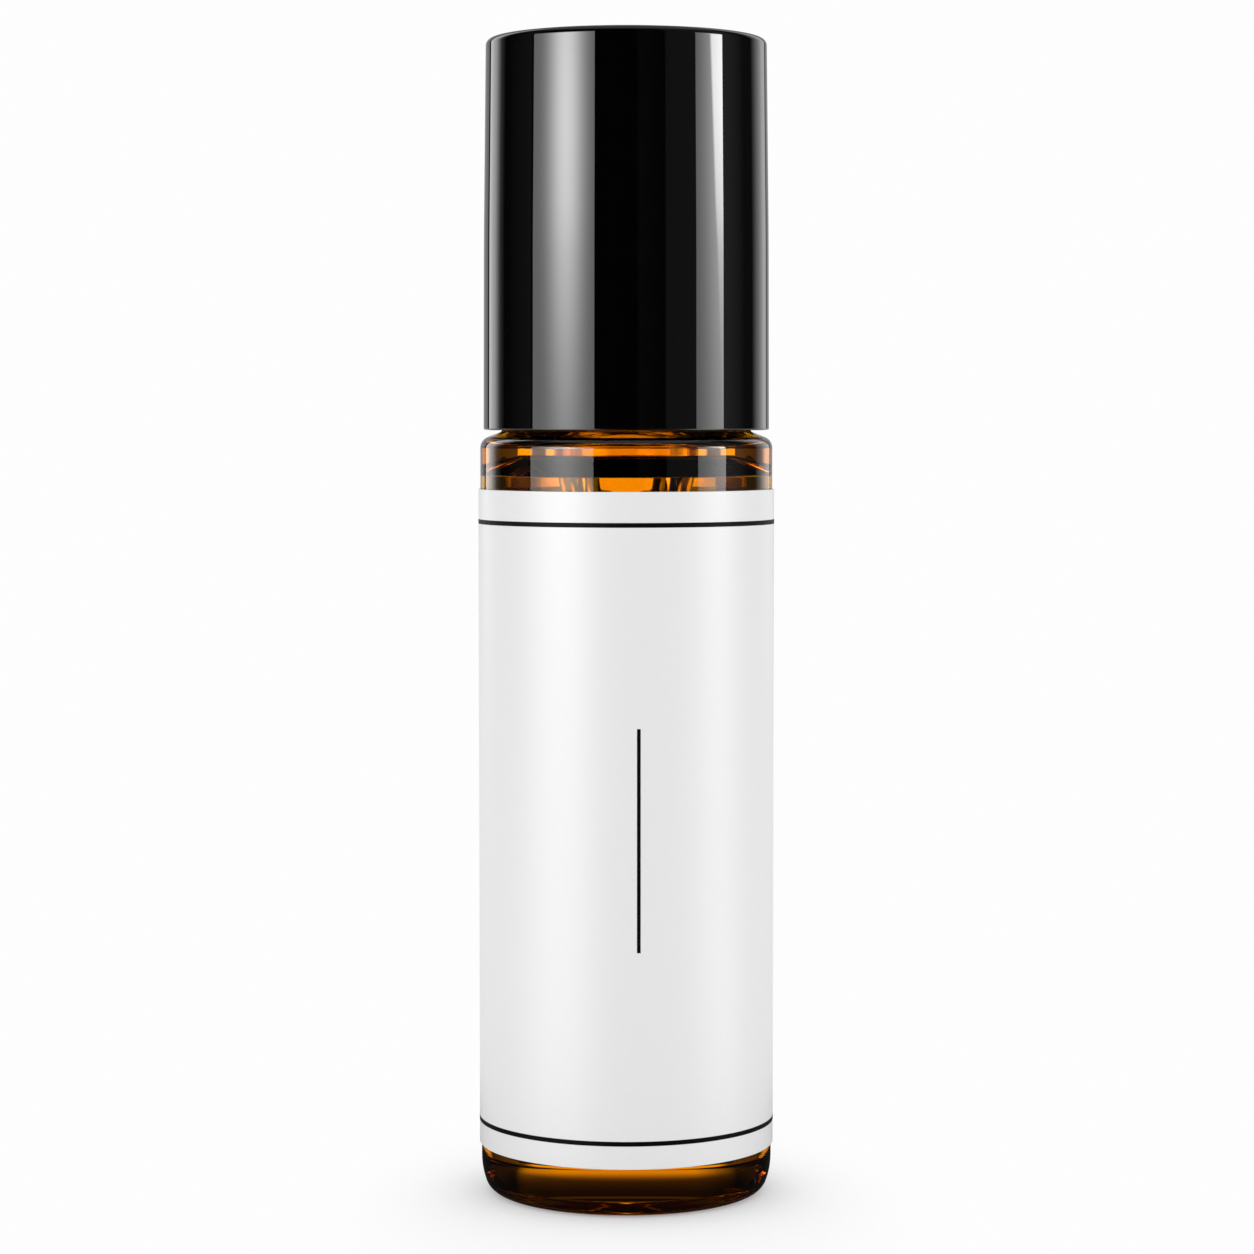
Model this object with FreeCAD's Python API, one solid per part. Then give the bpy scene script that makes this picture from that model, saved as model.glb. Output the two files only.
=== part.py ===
# Roll-on bottle: an amber glass bottle with a wrap label, a press-in roller fitment that holds
# a steel ball, and a screw cap made of a glossy shell, a threaded liner and a sealing disc.
# Sizes are in millimetres. The origin is on the floor under the bottle's axis, +Z points up
# and the front of the label faces -Y.
import FreeCAD, Part
import math
import os

# Ball and roller fitment, from the ball outwards
BALL_DIAMETER = 8.0
BALL_PLAY = 0.08
SOCKET_WALL = 0.77
PLUG_FIT = 0.05
BALL_RISE = 1.3
LIP_RISE = 1.5
LIP_LAND = 0.55
CUP_WALL = 1.0
FLANGE_SETBACK = 0.2
FLANGE_THICKNESS = 0.8
FITMENT_ROUND = 0.25
PLUG_LENGTH = 10.6
PLUG_WALL = 1.1
SKIRT_LENGTH = 3.5
SKIRT_TAPER = 0.77
SKIRT_SLOT_COUNT = 4
SKIRT_SLOT_WIDTH = 1.2
SKIRT_SLOT_HEIGHT = 3.0
SEAL_BEAD_COUNT = 3
SEAL_BEAD_SPACING = 2.4
SEAL_BEAD_RADIUS = 0.11
PASSAGE_DIAMETER = 4.4
SEAT_FLOOR = 1.0
FEED_SLOT_COUNT = 4
FEED_SLOT_WIDTH = 0.8
FEED_SLOT_REACH = 0.9

# Glass bottle
BODY_DIAMETER = 20.0
GLASS_WALL = 1.7
BASE_THICKNESS = 4.0
BASE_ROUND = 2.0
PUSH_UP_DEPTH = 1.0
PUSH_UP_DIAMETER = 15.4
PUSH_UP_SLOPE_WIDTH = 1.0
PUSH_UP_ROUND = 0.4
HEEL_WIDTH = 0.54
HEEL_HEIGHT = 1.66
HEEL_UPPER_ROUND = 5.0
HEEL_LOWER_ROUND = 1.15
SHOULDER_EDGE_HEIGHT = 51.8
SHOULDER_SLOPE_DEGREES = 21.56
SHOULDER_ROUND = 0.81
SHOULDER_WALL = 2.504
SHOULDER_INNER_SLOPE_DEGREES = 21.17
SHOULDER_INNER_ROUND = 0.1
THROAT_ROUND = 0.1
BEAD_HEIGHT = 0.5
BEAD_CLEARANCE = 0.3
BEAD_ROUND = 0.2
NECK_HEIGHT = 7.7
RIM_ROUND = 0.35

# Screw thread, shared by the neck and the liner
THREAD_PITCH = 3.0
THREAD_DEPTH = 0.65
THREAD_BASE_WIDTH = 1.5
THREAD_CREST_WIDTH = 0.6
THREAD_CLEARANCE = 0.15
THREAD_SINK = 0.2
THREAD_END_HEIGHT = 0.08
NECK_THREAD_TURNS = 1.35
NECK_THREAD_START = 1.75
LINER_THREAD_TURNS = 1.1
LINER_THREAD_LEAD = 0.25

# Screw cap
CAP_HEIGHT = 26.53
CAP_SETBACK = 0.23
CAP_GAP = 0.08
CAP_DRAFT = 0.21
CAP_LOW_DRAFT = 0.05
CAP_SIDE_ROUND = 400.0
CAP_TOP_ROUND = 0.45
CAP_EDGE_ROUND = 0.12
SHELL_WALL = 0.97
SHELL_ROOF = 1.2
SEAT_RIB_COUNT = 8
SEAT_RIB_WIDTH = 0.8
SEAT_RIB_DEPTH = 1.2
LINER_FIT = 0.05
LINER_WALL = 0.75
LINER_ROOF = 1.0
LINER_GAP = 0.3
LINER_ROUND = 0.3
DRIVE_RIB_COUNT = 24
DRIVE_RIB_WIDTH = 0.5
DRIVE_RIB_BITE = 0.03
DRIVE_RIB_INSET = 1.5
DISC_THICKNESS = 1.2
DISC_GAP = 0.2
DISC_PLAY = 0.12
DISC_CLEARANCE = 0.2
DISC_ROUND = 0.2
CATCH_REACH = 0.5
CATCH_HEIGHT = 0.7

# Wrap label
LABEL_BOTTOM = 3.39
LABEL_HEIGHT = 45.06
LABEL_THICKNESS = 0.13
LABEL_GLUE = 0.02
LABEL_SEAM = 1.6
LABEL_CORNER_ROUND = 1.2

# Room that a cutter has past the face it cuts
CUT_MARGIN = 1.0
# Largest share of a side that one rounded corner takes
ROUND_SHARE = 0.49

# Radii that follow from the sizes above: the fitment grows outwards from the ball and sets the neck's
# bore, the cap follows the body's width and sets the thread, and the neck's wall is what lies between
ball_radius = BALL_DIAMETER / 2
socket_radius = ball_radius + BALL_PLAY
plug_radius = socket_radius + SOCKET_WALL
bore_radius = plug_radius + PLUG_FIT
body_radius = BODY_DIAMETER / 2
chamber_radius = body_radius - GLASS_WALL
cap_radius = body_radius - CAP_SETBACK
shell_bore = cap_radius - SHELL_WALL
liner_radius = shell_bore - LINER_FIT
liner_bore = liner_radius - LINER_WALL
crest_radius = liner_bore - THREAD_CLEARANCE
neck_radius = crest_radius - THREAD_DEPTH
bead_radius = shell_bore - BEAD_CLEARANCE
passage_radius = PASSAGE_DIAMETER / 2

# Levels that follow from the sizes above
shoulder_rise = math.tan(math.radians(SHOULDER_SLOPE_DEGREES))
bead_foot = SHOULDER_EDGE_HEIGHT + (body_radius - bead_radius) * shoulder_rise
bead_top = bead_foot + BEAD_HEIGHT
rim = bead_top + NECK_HEIGHT
ball_centre = rim + BALL_RISE
ball_top = ball_centre + ball_radius
disc_bottom = ball_top + DISC_GAP
disc_top = disc_bottom + DISC_THICKNESS
liner_bottom = bead_top + LINER_GAP
liner_ceiling = disc_top + DISC_PLAY
liner_top = liner_ceiling + LINER_ROOF
cap_bottom = bead_foot + CAP_GAP
cap_top = cap_bottom + CAP_HEIGHT
shell_ceiling = cap_top - SHELL_ROOF
neck_thread_level = bead_top + NECK_THREAD_START
liner_thread_level = liner_bottom + THREAD_BASE_WIDTH / 2 + LINER_THREAD_LEAD

UP = FreeCAD.Vector(0, 0, 1)
ORIGIN = FreeCAD.Vector(0, 0, 0)


def point(radius, level):
    """A point of a profile, in the XZ plane."""
    return FreeCAD.Vector(radius, 0, level)


def corner_arc(before, corner, after, radius):
    """Start, middle and end of the arc that rounds one corner of a profile."""
    to_before = (before - corner).normalize()
    to_after = (after - corner).normalize()
    half_angle = to_before.getAngle(to_after) / 2
    room = ROUND_SHARE * min((before - corner).Length, (after - corner).Length)
    reach = min(radius / math.tan(half_angle), room)
    radius = reach * math.tan(half_angle)
    inward = (to_before + to_after).normalize()
    middle = corner + inward * (radius / math.sin(half_angle) - radius)
    return corner + to_before * reach, middle, corner + to_after * reach


def rounded_wire(corners):
    """Closed profile through (radius, level) corners; a third number rounds that corner."""
    points = [point(corner[0], corner[1]) for corner in corners]
    rounds = [corner[2] if len(corner) > 2 else 0 for corner in corners]
    edges = []
    starts = []
    ends = []
    for index, corner in enumerate(points):
        if rounds[index]:
            after = points[(index + 1) % len(points)]
            start, middle, end = corner_arc(points[index - 1], corner, after, rounds[index])
            edges.append(Part.Arc(start, middle, end).toShape())
        else:
            start = corner
            end = corner
        starts.append(start)
        ends.append(end)
    for index, end in enumerate(ends):
        edges.append(Part.makeLine(end, starts[(index + 1) % len(starts)]))
    return Part.Wire(Part.__sortEdges__(edges))


def lathe(corners, degrees=360):
    """Solid turned about the bottle's axis from a rounded profile."""
    return Part.Face(rounded_wire(corners)).revolve(ORIGIN, UP, degrees)


def turned(shape, degrees):
    """Copy of a shape, turned about the bottle's axis."""
    copy = shape.copy()
    copy.rotate(ORIGIN, UP, degrees)
    return copy


def around(shape, count):
    """Equally spaced copies of a shape about the bottle's axis."""
    return [turned(shape, 360 * index / count) for index in range(count)]


def radial_box(inner, outer, width, bottom, top):
    """Box that reaches outwards along +X from the axis, centred across its width."""
    corner = FreeCAD.Vector(inner, -width / 2, bottom)
    return Part.makeBox(outer - inner, width, top - bottom, corner)


def helical_ridge(root, crest, turns):
    """Thread ridge that climbs from the XZ plane at level zero, sunk a little into its wall."""
    outward = math.copysign(1, crest - root)
    sunk = root - outward * THREAD_SINK
    half_base = THREAD_BASE_WIDTH / 2
    half_crest = THREAD_CREST_WIDTH / 2
    corners = [(sunk, -half_base), (root, -half_base), (crest, -half_crest)]
    corners += [(radius, -level) for radius, level in reversed(corners)]
    profile = rounded_wire(corners)
    helix = Part.makeHelix(THREAD_PITCH, THREAD_PITCH * turns, root)
    return Part.Wire(helix).makePipeShell([profile], True, True)


def fade_ends(ridge, cutter, turns):
    """Thin a ridge down at both ends with a cutter that just clears its wall."""
    for angle in (0, 360 * turns):
        end_cutter = turned(cutter, angle)
        end_cutter.translate(UP * (THREAD_PITCH * angle / 360))
        ridge = ridge.cut(end_cutter)
    return ridge


def neck_thread():
    """Right-hand ridge on the outside of the neck; flats run its ends out."""
    ridge = helical_ridge(neck_radius, crest_radius, NECK_THREAD_TURNS)
    inner = neck_radius + THREAD_END_HEIGHT
    flat = radial_box(inner, inner + crest_radius, crest_radius, -THREAD_PITCH / 2, THREAD_PITCH / 2)
    ridge = fade_ends(ridge, flat, NECK_THREAD_TURNS)
    ridge.translate(UP * neck_thread_level)
    return ridge


def liner_thread():
    """Mating ridge inside the liner, half a pitch below the neck's; hollows run its ends out."""
    ridge = helical_ridge(liner_bore, neck_radius + THREAD_CLEARANCE, LINER_THREAD_TURNS)
    hollow_radius = liner_bore / 2
    hollow_place = FreeCAD.Vector(liner_bore - THREAD_END_HEIGHT - hollow_radius, 0, -THREAD_PITCH / 2)
    hollow = Part.makeCylinder(hollow_radius, THREAD_PITCH, hollow_place)
    ridge = fade_ends(ridge, hollow, LINER_THREAD_TURNS)
    half_pitch_below = neck_thread_level - THREAD_PITCH / 2
    start_angle = 360 * (liner_thread_level - half_pitch_below) / THREAD_PITCH
    ridge = turned(ridge, start_angle)
    ridge.translate(UP * liner_thread_level)
    return ridge


def bottle():
    """Amber glass: dished base, rounded heel, square shoulder, bead and threaded neck."""
    inner_edge = SHOULDER_EDGE_HEIGHT - SHOULDER_WALL
    inner_rise = math.tan(math.radians(SHOULDER_INNER_SLOPE_DEGREES))
    throat = inner_edge + (chamber_radius - bore_radius) * inner_rise
    push_up_radius = PUSH_UP_DIAMETER / 2
    glass = lathe([
        (0, PUSH_UP_DEPTH),
        (push_up_radius - PUSH_UP_SLOPE_WIDTH, PUSH_UP_DEPTH, PUSH_UP_ROUND),
        (push_up_radius, 0, PUSH_UP_ROUND),
        (body_radius - HEEL_WIDTH, 0, HEEL_LOWER_ROUND),
        (body_radius, HEEL_HEIGHT, HEEL_UPPER_ROUND),
        (body_radius, SHOULDER_EDGE_HEIGHT, SHOULDER_ROUND),
        (bead_radius, bead_foot, BEAD_ROUND),
        (bead_radius, bead_top, BEAD_ROUND),
        (neck_radius, bead_top, BEAD_ROUND),
        (neck_radius, rim, RIM_ROUND),
        (bore_radius, rim, RIM_ROUND),
        (bore_radius, throat, THROAT_ROUND),
        (chamber_radius, inner_edge, SHOULDER_INNER_ROUND),
        (chamber_radius, BASE_THICKNESS, BASE_ROUND),
        (0, BASE_THICKNESS),
    ])
    return glass.fuse(neck_thread())


def label():
    """Thin wrap with rounded corners either side of an open seam at the back."""
    inner = body_radius + LABEL_GLUE
    outer = inner + LABEL_THICKNESS
    top = LABEL_BOTTOM + LABEL_HEIGHT
    seam_degrees = math.degrees(LABEL_SEAM / outer)
    wrap = lathe([(inner, LABEL_BOTTOM), (outer, LABEL_BOTTOM), (outer, top), (inner, top)], 360 - seam_degrees)
    wrap = turned(wrap, 90 + seam_degrees / 2)
    radial_edges = [edge for edge in wrap.Edges if edge.Length < 2 * LABEL_THICKNESS]
    return wrap.makeFillet(LABEL_CORNER_ROUND, radial_edges)


def fitment_body():
    """Outside of the roller fitment: tapered skirt, plug, flange on the rim and ball cup."""
    plug_end = rim - PLUG_LENGTH
    lip_radius = math.sqrt(socket_radius ** 2 - LIP_RISE ** 2)
    flange_top = rim + FLANGE_THICKNESS
    flange_radius = neck_radius - FLANGE_SETBACK
    return lathe([
        (0, plug_end - SKIRT_LENGTH),
        (plug_radius - SKIRT_TAPER, plug_end - SKIRT_LENGTH, FITMENT_ROUND),
        (plug_radius, plug_end, FITMENT_ROUND),
        (plug_radius, rim),
        (flange_radius, rim),
        (flange_radius, flange_top, FITMENT_ROUND),
        (socket_radius + CUP_WALL, flange_top, FITMENT_ROUND),
        (lip_radius + LIP_LAND, ball_centre + LIP_RISE, FITMENT_ROUND),
        (0, ball_centre + LIP_RISE),
    ])


def fitment_hollow():
    """Inside of the plug and skirt, narrowing to the passage under the ball."""
    plug_end = rim - PLUG_LENGTH
    skirt_end = plug_end - SKIRT_LENGTH
    plug_hollow = plug_radius - PLUG_WALL
    skirt_hollow = plug_hollow - SKIRT_TAPER
    floor_level = ball_centre - socket_radius - SEAT_FLOOR
    return lathe([
        (0, skirt_end - CUT_MARGIN),
        (skirt_hollow, skirt_end - CUT_MARGIN),
        (skirt_hollow, skirt_end),
        (plug_hollow, plug_end),
        (plug_hollow, floor_level, FITMENT_ROUND),
        (passage_radius, floor_level),
        (passage_radius, ball_centre),
        (0, ball_centre),
    ])


def roller_housing():
    """Press-in fitment: its lip holds the ball, feed slots under the ball pass the liquid."""
    housing = fitment_body()
    for index in range(SEAL_BEAD_COUNT):
        level = rim - (index + 1) * SEAL_BEAD_SPACING
        housing = housing.fuse(Part.makeTorus(plug_radius, SEAL_BEAD_RADIUS, point(0, level)))
    cutters = [fitment_hollow(), Part.makeSphere(socket_radius, point(0, ball_centre))]
    feed_top = ball_centre
    feed_bottom = ball_centre - socket_radius - SEAT_FLOOR - CUT_MARGIN
    feed_reach = passage_radius + FEED_SLOT_REACH
    feed_slot = radial_box(0, feed_reach, FEED_SLOT_WIDTH, feed_bottom, feed_top)
    cutters += around(feed_slot, FEED_SLOT_COUNT)
    skirt_end = rim - PLUG_LENGTH - SKIRT_LENGTH
    skirt_slot = radial_box(0, plug_radius + CUT_MARGIN, SKIRT_SLOT_WIDTH,
                            skirt_end - CUT_MARGIN, skirt_end + SKIRT_SLOT_HEIGHT)
    half_step = 180 / SKIRT_SLOT_COUNT
    cutters += around(turned(skirt_slot, half_step), SKIRT_SLOT_COUNT)
    return housing.cut(cutters)


def roller_ball():
    """Steel ball, held past its equator by the fitment's lip."""
    return Part.makeSphere(ball_radius, point(0, ball_centre))


def seal_disc():
    """Soft disc that the cap presses on the ball; it lies loose above the liner's catch."""
    radius = liner_bore - DISC_CLEARANCE
    return lathe([
        (0, disc_bottom),
        (radius, disc_bottom, DISC_ROUND),
        (radius, disc_top, DISC_ROUND),
        (0, disc_top),
    ])


def inner_cap():
    """Threaded liner of the cap, with drive ribs outside and a catch ring under the disc."""
    liner = lathe([
        (liner_bore, liner_bottom),
        (liner_radius, liner_bottom, LINER_ROUND),
        (liner_radius, liner_top, LINER_ROUND),
        (0, liner_top),
        (0, liner_ceiling),
        (liner_bore, liner_ceiling, LINER_ROUND),
    ])
    catch_top = disc_bottom - DISC_PLAY
    catch = lathe([
        (liner_bore + LINER_WALL / 2, catch_top - CATCH_HEIGHT),
        (liner_bore, catch_top - CATCH_HEIGHT),
        (liner_bore - CATCH_REACH, catch_top - CATCH_HEIGHT / 2),
        (liner_bore, catch_top),
        (liner_bore + LINER_WALL / 2, catch_top),
    ])
    rib_outside = shell_bore + DRIVE_RIB_BITE
    rib = radial_box(liner_bore + LINER_WALL / 2, rib_outside, DRIVE_RIB_WIDTH,
                     liner_bottom + DRIVE_RIB_INSET, liner_top - DRIVE_RIB_INSET)
    return liner.fuse([catch, liner_thread()] + around(rib, DRIVE_RIB_COUNT))


def cap_shell():
    """Glossy outer cap, slightly drafted, with ribs under its roof that stop the liner."""
    shell = lathe([
        (0, cap_bottom),
        (cap_radius, cap_bottom, CAP_EDGE_ROUND),
        (cap_radius - CAP_LOW_DRAFT, (cap_bottom + cap_top) / 2, CAP_SIDE_ROUND),
        (cap_radius - CAP_DRAFT, cap_top, CAP_TOP_ROUND),
        (0, cap_top),
    ])
    hollow = Part.makeCylinder(shell_bore, shell_ceiling - cap_bottom + CUT_MARGIN,
                               point(0, cap_bottom - CUT_MARGIN))
    rib = radial_box(shell_bore - SEAT_RIB_DEPTH, shell_bore + SHELL_WALL / 2, SEAT_RIB_WIDTH,
                     liner_top, shell_ceiling + SHELL_ROOF / 2)
    return shell.cut(hollow).fuse(around(rib, SEAT_RIB_COUNT))


NODES = {
    "bottle": bottle,
    "label": label,
    "roller_housing": roller_housing,
    "roller_ball": roller_ball,
    "seal_disc": seal_disc,
    "inner_cap": inner_cap,
    "cap_shell": cap_shell,
}

os.makedirs("parts", exist_ok=True)
for node, make in NODES.items():
    make().exportStep("parts/" + node + ".step")
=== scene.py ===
# Roll-on bottle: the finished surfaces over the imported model, in metres.
import math
import bpy
from mathutils import Matrix, Vector


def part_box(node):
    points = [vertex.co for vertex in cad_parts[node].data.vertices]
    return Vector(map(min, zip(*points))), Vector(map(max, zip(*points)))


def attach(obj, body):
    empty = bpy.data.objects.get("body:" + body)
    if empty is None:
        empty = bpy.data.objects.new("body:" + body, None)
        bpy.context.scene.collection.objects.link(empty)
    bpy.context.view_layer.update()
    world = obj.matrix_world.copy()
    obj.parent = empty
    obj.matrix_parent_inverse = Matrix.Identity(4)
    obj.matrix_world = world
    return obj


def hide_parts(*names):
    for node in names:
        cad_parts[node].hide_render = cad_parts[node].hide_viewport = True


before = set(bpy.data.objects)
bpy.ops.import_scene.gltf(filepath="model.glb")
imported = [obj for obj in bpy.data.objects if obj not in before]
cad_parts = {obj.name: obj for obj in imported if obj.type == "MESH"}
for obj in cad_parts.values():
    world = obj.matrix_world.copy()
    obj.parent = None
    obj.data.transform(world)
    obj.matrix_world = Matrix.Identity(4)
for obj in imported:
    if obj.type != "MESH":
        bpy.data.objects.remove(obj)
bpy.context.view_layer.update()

MM = 0.001
TURN = 2 * math.pi

# Glass bottle, beside what its packed box gives
GLASS_WALL = 1.7 * MM
BASE_THICKNESS = 4.0 * MM
BASE_ROUND = 2.0 * MM
PUSH_UP_DEPTH = 1.0 * MM
PUSH_UP_RADIUS = 7.7 * MM
PUSH_UP_SLOPE_WIDTH = 1.0 * MM
PUSH_UP_ROUND = 0.4 * MM
HEEL_WIDTH = 0.54 * MM
HEEL_HEIGHT = 1.66 * MM
HEEL_UPPER_ROUND = 5.0 * MM
HEEL_LOWER_ROUND = 1.15 * MM
SHOULDER_EDGE_HEIGHT = 51.8 * MM
SHOULDER_RISE = math.tan(math.radians(21.56))
SHOULDER_ROUND = 0.81 * MM
SHOULDER_WALL = 2.4 * MM
SHOULDER_INNER_RISE = math.tan(math.radians(21.17))
SHOULDER_INNER_ROUND = 0.1 * MM
THROAT_ROUND = 0.1 * MM
BEAD_RADIUS = 8.5 * MM
BEAD_HEIGHT = 0.5 * MM
BEAD_ROUND = 0.2 * MM
NECK_RADIUS = 7.2 * MM
BORE_RADIUS = 4.9 * MM
RIM_ROUND = 0.35 * MM

# Thread on the neck
THREAD_PITCH = 3.0 * MM
THREAD_DEPTH = 0.65 * MM
THREAD_BASE_WIDTH = 1.5 * MM
THREAD_CREST_WIDTH = 0.6 * MM
THREAD_TURNS = 1.35
THREAD_START = 1.75 * MM
THREAD_END_HEIGHT = 0.08 * MM
THREAD_END_ANGLE = 1.0
NECK_RINGS = 90

# Roller fitment
PLUG_RADIUS = 4.85 * MM
PLUG_LENGTH = 10.6 * MM
PLUG_WALL = 1.1 * MM
SKIRT_LENGTH = 3.5 * MM
SKIRT_TAPER = 0.77 * MM
SKIRT_SLOT_COUNT = 4
SKIRT_SLOT_WIDTH = 1.2 * MM
SKIRT_SLOT_HEIGHT = 3.0 * MM
SEAL_BEAD_COUNT = 3
SEAL_BEAD_SPACING = 2.4 * MM
SEAL_BEAD_HEIGHT = 0.05 * MM
SEAL_BEAD_WIDTH = 0.1 * MM
FLANGE_RADIUS = 7.0 * MM
FLANGE_THICKNESS = 0.8 * MM
FITMENT_ROUND = 0.25 * MM
BALL_PLAY = 0.08 * MM
CUP_WALL = 1.0 * MM
LIP_RISE = 1.5 * MM
LIP_LAND = 0.55 * MM
SEAT_FLOOR = 1.0 * MM
PASSAGE_RADIUS = 2.2 * MM
FEED_SLOT_COUNT = 4
FEED_SLOT_WIDTH = 0.8 * MM
FEED_SLOT_REACH = 0.9 * MM

# Cap shell
CAP_DRAFT = 0.21 * MM
CAP_LOW_DRAFT = 0.05 * MM
CAP_SIDE_ROUND = 400 * MM
CAP_TOP_ROUND = 0.45 * MM
CAP_EDGE_ROUND = 0.12 * MM
SHELL_WALL = 0.97 * MM
SHELL_ROOF = 1.2 * MM
SHELL_INNER_ROUND = 0.3 * MM

# Label and its printed rules
LABEL_GLUE = 0.02 * MM
LABEL_SEAM = 1.6 * MM
LABEL_CORNER = 1.2 * MM
LABEL_BEVEL = 0.03 * MM
INK = 0.01 * MM
RULE_WIDTH = 0.31 * MM
RULE_TOP_LEVEL = 46.25 * MM
RULE_BOTTOM_LEVEL = 5.11 * MM
DIVIDER_WIDTH = 0.24 * MM
DIVIDER_LOW = 17.9 * MM
DIVIDER_HIGH = 32.8 * MM
DIVIDER_ANGLE = math.radians(4.7)

# Mesh fineness
SEGMENTS = 192
ARC_STEPS = 10
BALL_STEPS = 64
ROUND_SHARE = 0.49
SHARP_ANGLE = math.radians(30)
AXIS_TOLERANCE = 1e-7
WALL_TOLERANCE = 1e-6
SLOPE_STEP = 0.02 * MM
CUT_MARGIN = 1.0 * MM

# Camera of the photograph
IMAGE_WIDTH = 1254
FOCAL_PIXELS = 3526
SENSOR_WIDTH = 36.0
CAMERA_PLACE = Vector((0.048 * MM, -242.0 * MM, 53.53 * MM))
CAMERA_TILT = math.radians(3.448)
CAMERA_CLIP = 10 * MM

body_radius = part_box("bottle")[1].x
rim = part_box("bottle")[1].z
label_low, label_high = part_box("label")
cap_low, cap_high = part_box("cap_shell")
ball_low, ball_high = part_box("roller_ball")
ball_centre = (ball_low.z + ball_high.z) / 2
ball_radius = (ball_high.z - ball_low.z) / 2
bead_foot = SHOULDER_EDGE_HEIGHT + (body_radius - BEAD_RADIUS) * SHOULDER_RISE
bead_top = bead_foot + BEAD_HEIGHT
scene = bpy.context.scene


# Meshes


def add_piece(name, verts, faces, normals=None):
    """New smooth mesh object, with exact vertex normals where they are given."""
    mesh = bpy.data.meshes.new(name)
    mesh.from_pydata(verts, [], faces)
    mesh.update()
    mesh.shade_smooth()
    if normals:
        mesh.normals_split_custom_set_from_vertices(normals)
    piece = bpy.data.objects.new(name, mesh)
    scene.collection.objects.link(piece)
    return piece


def rounded_profile(corners):
    """Profile points as (point, outward normal), walked with the solid on the left.
    A corner is (radius, level), with a rounding and a number of rings up to the next corner if given."""
    points = [Vector(corner[:2]) for corner in corners]
    profile = []
    for index, corner in enumerate(corners):
        here = points[index]
        if 0 < index < len(points) - 1 and corner[2] > 0:
            to_before = (points[index - 1] - here).normalized()
            to_after = (points[index + 1] - here).normalized()
            half = to_before.angle(to_after) / 2
            room = ROUND_SHARE * min((points[index - 1] - here).length, (points[index + 1] - here).length)
            reach = min(corner[2] / math.tan(half), room)
            radius = reach * math.tan(half)
            centre = here + (to_before + to_after).normalized() * (radius / math.sin(half))
            start = here + to_before * reach - centre
            end = here + to_after * reach - centre
            sweep = start.angle_signed(end)
            outward = 1 if sweep < 0 else -1
            for step in range(ARC_STEPS + 1):
                arm = start.copy()
                arm.rotate(Matrix.Rotation(-sweep * step / ARC_STEPS, 2))
                profile.append((centre + arm, arm.normalized() * outward))
        else:
            along = points[1] - points[0] if index == 0 else points[-1] - points[-2]
            profile.append((here, Vector((along.y, -along.x)).normalized()))
        rings = corner[3] if len(corner) > 3 else 0
        if rings:
            profile.append(rings)
    return spread_rings(profile)


def spread_rings(profile):
    """Replace each ring count in a profile by that many points up to the next one."""
    full = []
    for index, item in enumerate(profile):
        if isinstance(item, int):
            start, normal = profile[index - 1]
            end = profile[index + 1][0]
            full += [(start.lerp(end, step / (item + 1)), normal) for step in range(1, item + 1)]
        else:
            full.append(item)
    return full


def turned_piece(name, corners, relief=None):
    """Solid of revolution about the bottle's axis; relief raises its surface outwards."""
    return turned_profile(name, rounded_profile(corners), relief)


def turned_profile(name, profile, relief=None):
    """Mesh that a profile sweeps about the bottle's axis, closed at both ends on the axis."""
    verts = []
    normals = []
    rings = []
    for point, normal in profile:
        radius, level = point
        count = SEGMENTS if radius > AXIS_TOLERANCE else 1
        rings.append(range(len(verts), len(verts) + count))
        for step in range(count):
            angle = TURN * step / SEGMENTS
            height, around, upward = relief(angle, radius, level) if relief else (0, 0, 0)
            cos, sin = math.cos(angle), math.sin(angle)
            verts.append(((radius + height) * cos, (radius + height) * sin, level))
            flat = Vector((normal.x * cos + around * sin, normal.x * sin - around * cos, normal.y - upward))
            normals.append(flat.normalized())
    faces = []
    for lower, upper in zip(rings, rings[1:]):
        for step in range(SEGMENTS):
            after = (step + 1) % SEGMENTS
            if len(lower) == 1:
                faces.append((lower[0], upper[after], upper[step]))
            elif len(upper) == 1:
                faces.append((lower[step], lower[after], upper[0]))
            else:
                faces.append((lower[step], lower[after], upper[after], upper[step]))
    return add_piece(name, verts, faces, normals)


def ring_piece(name, profile):
    """Mesh that a closed profile off the axis sweeps about it, smooth but for its sharp edges."""
    verts = []
    for step in range(SEGMENTS):
        angle = TURN * step / SEGMENTS
        verts += [(point.x * math.cos(angle), point.x * math.sin(angle), point.y) for point in profile]
    size = len(profile)
    faces = []
    for step in range(SEGMENTS):
        here = step * size
        after = (step + 1) % SEGMENTS * size
        for side in range(size):
            turn = (side + 1) % size
            faces.append((here + side, after + side, after + turn, here + turn))
    return add_piece(name, verts, faces)


def box_cutter(angle, reach, width, low, high):
    """Box from the axis outwards at an angle, for cutting a slot."""
    half = width / 2
    verts = []
    for level in (low, high):
        for along, across in ((0, -half), (reach, -half), (reach, half), (0, half)):
            verts.append((along * math.cos(angle) - across * math.sin(angle),
                          along * math.sin(angle) + across * math.cos(angle), level))
    faces = [(3, 2, 1, 0), (4, 5, 6, 7)]
    faces += [(side, (side + 1) % 4, (side + 1) % 4 + 4, side + 4) for side in range(4)]
    return add_piece("cutter", verts, faces)


def cut_slots(piece, cutters):
    """Cut boxes out of a piece and shade the result smooth between its sharp edges."""
    for cutter in cutters:
        modifier = piece.modifiers.new("slot", "BOOLEAN")
        modifier.operation = "DIFFERENCE"
        modifier.object = cutter
    whole = piece.evaluated_get(bpy.context.evaluated_depsgraph_get())
    piece.data = bpy.data.meshes.new_from_object(whole)
    piece.modifiers.clear()
    for cutter in cutters:
        bpy.data.objects.remove(cutter)
    piece.data.shade_smooth()
    piece.data.set_sharp_from_angle(angle=SHARP_ANGLE)


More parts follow.
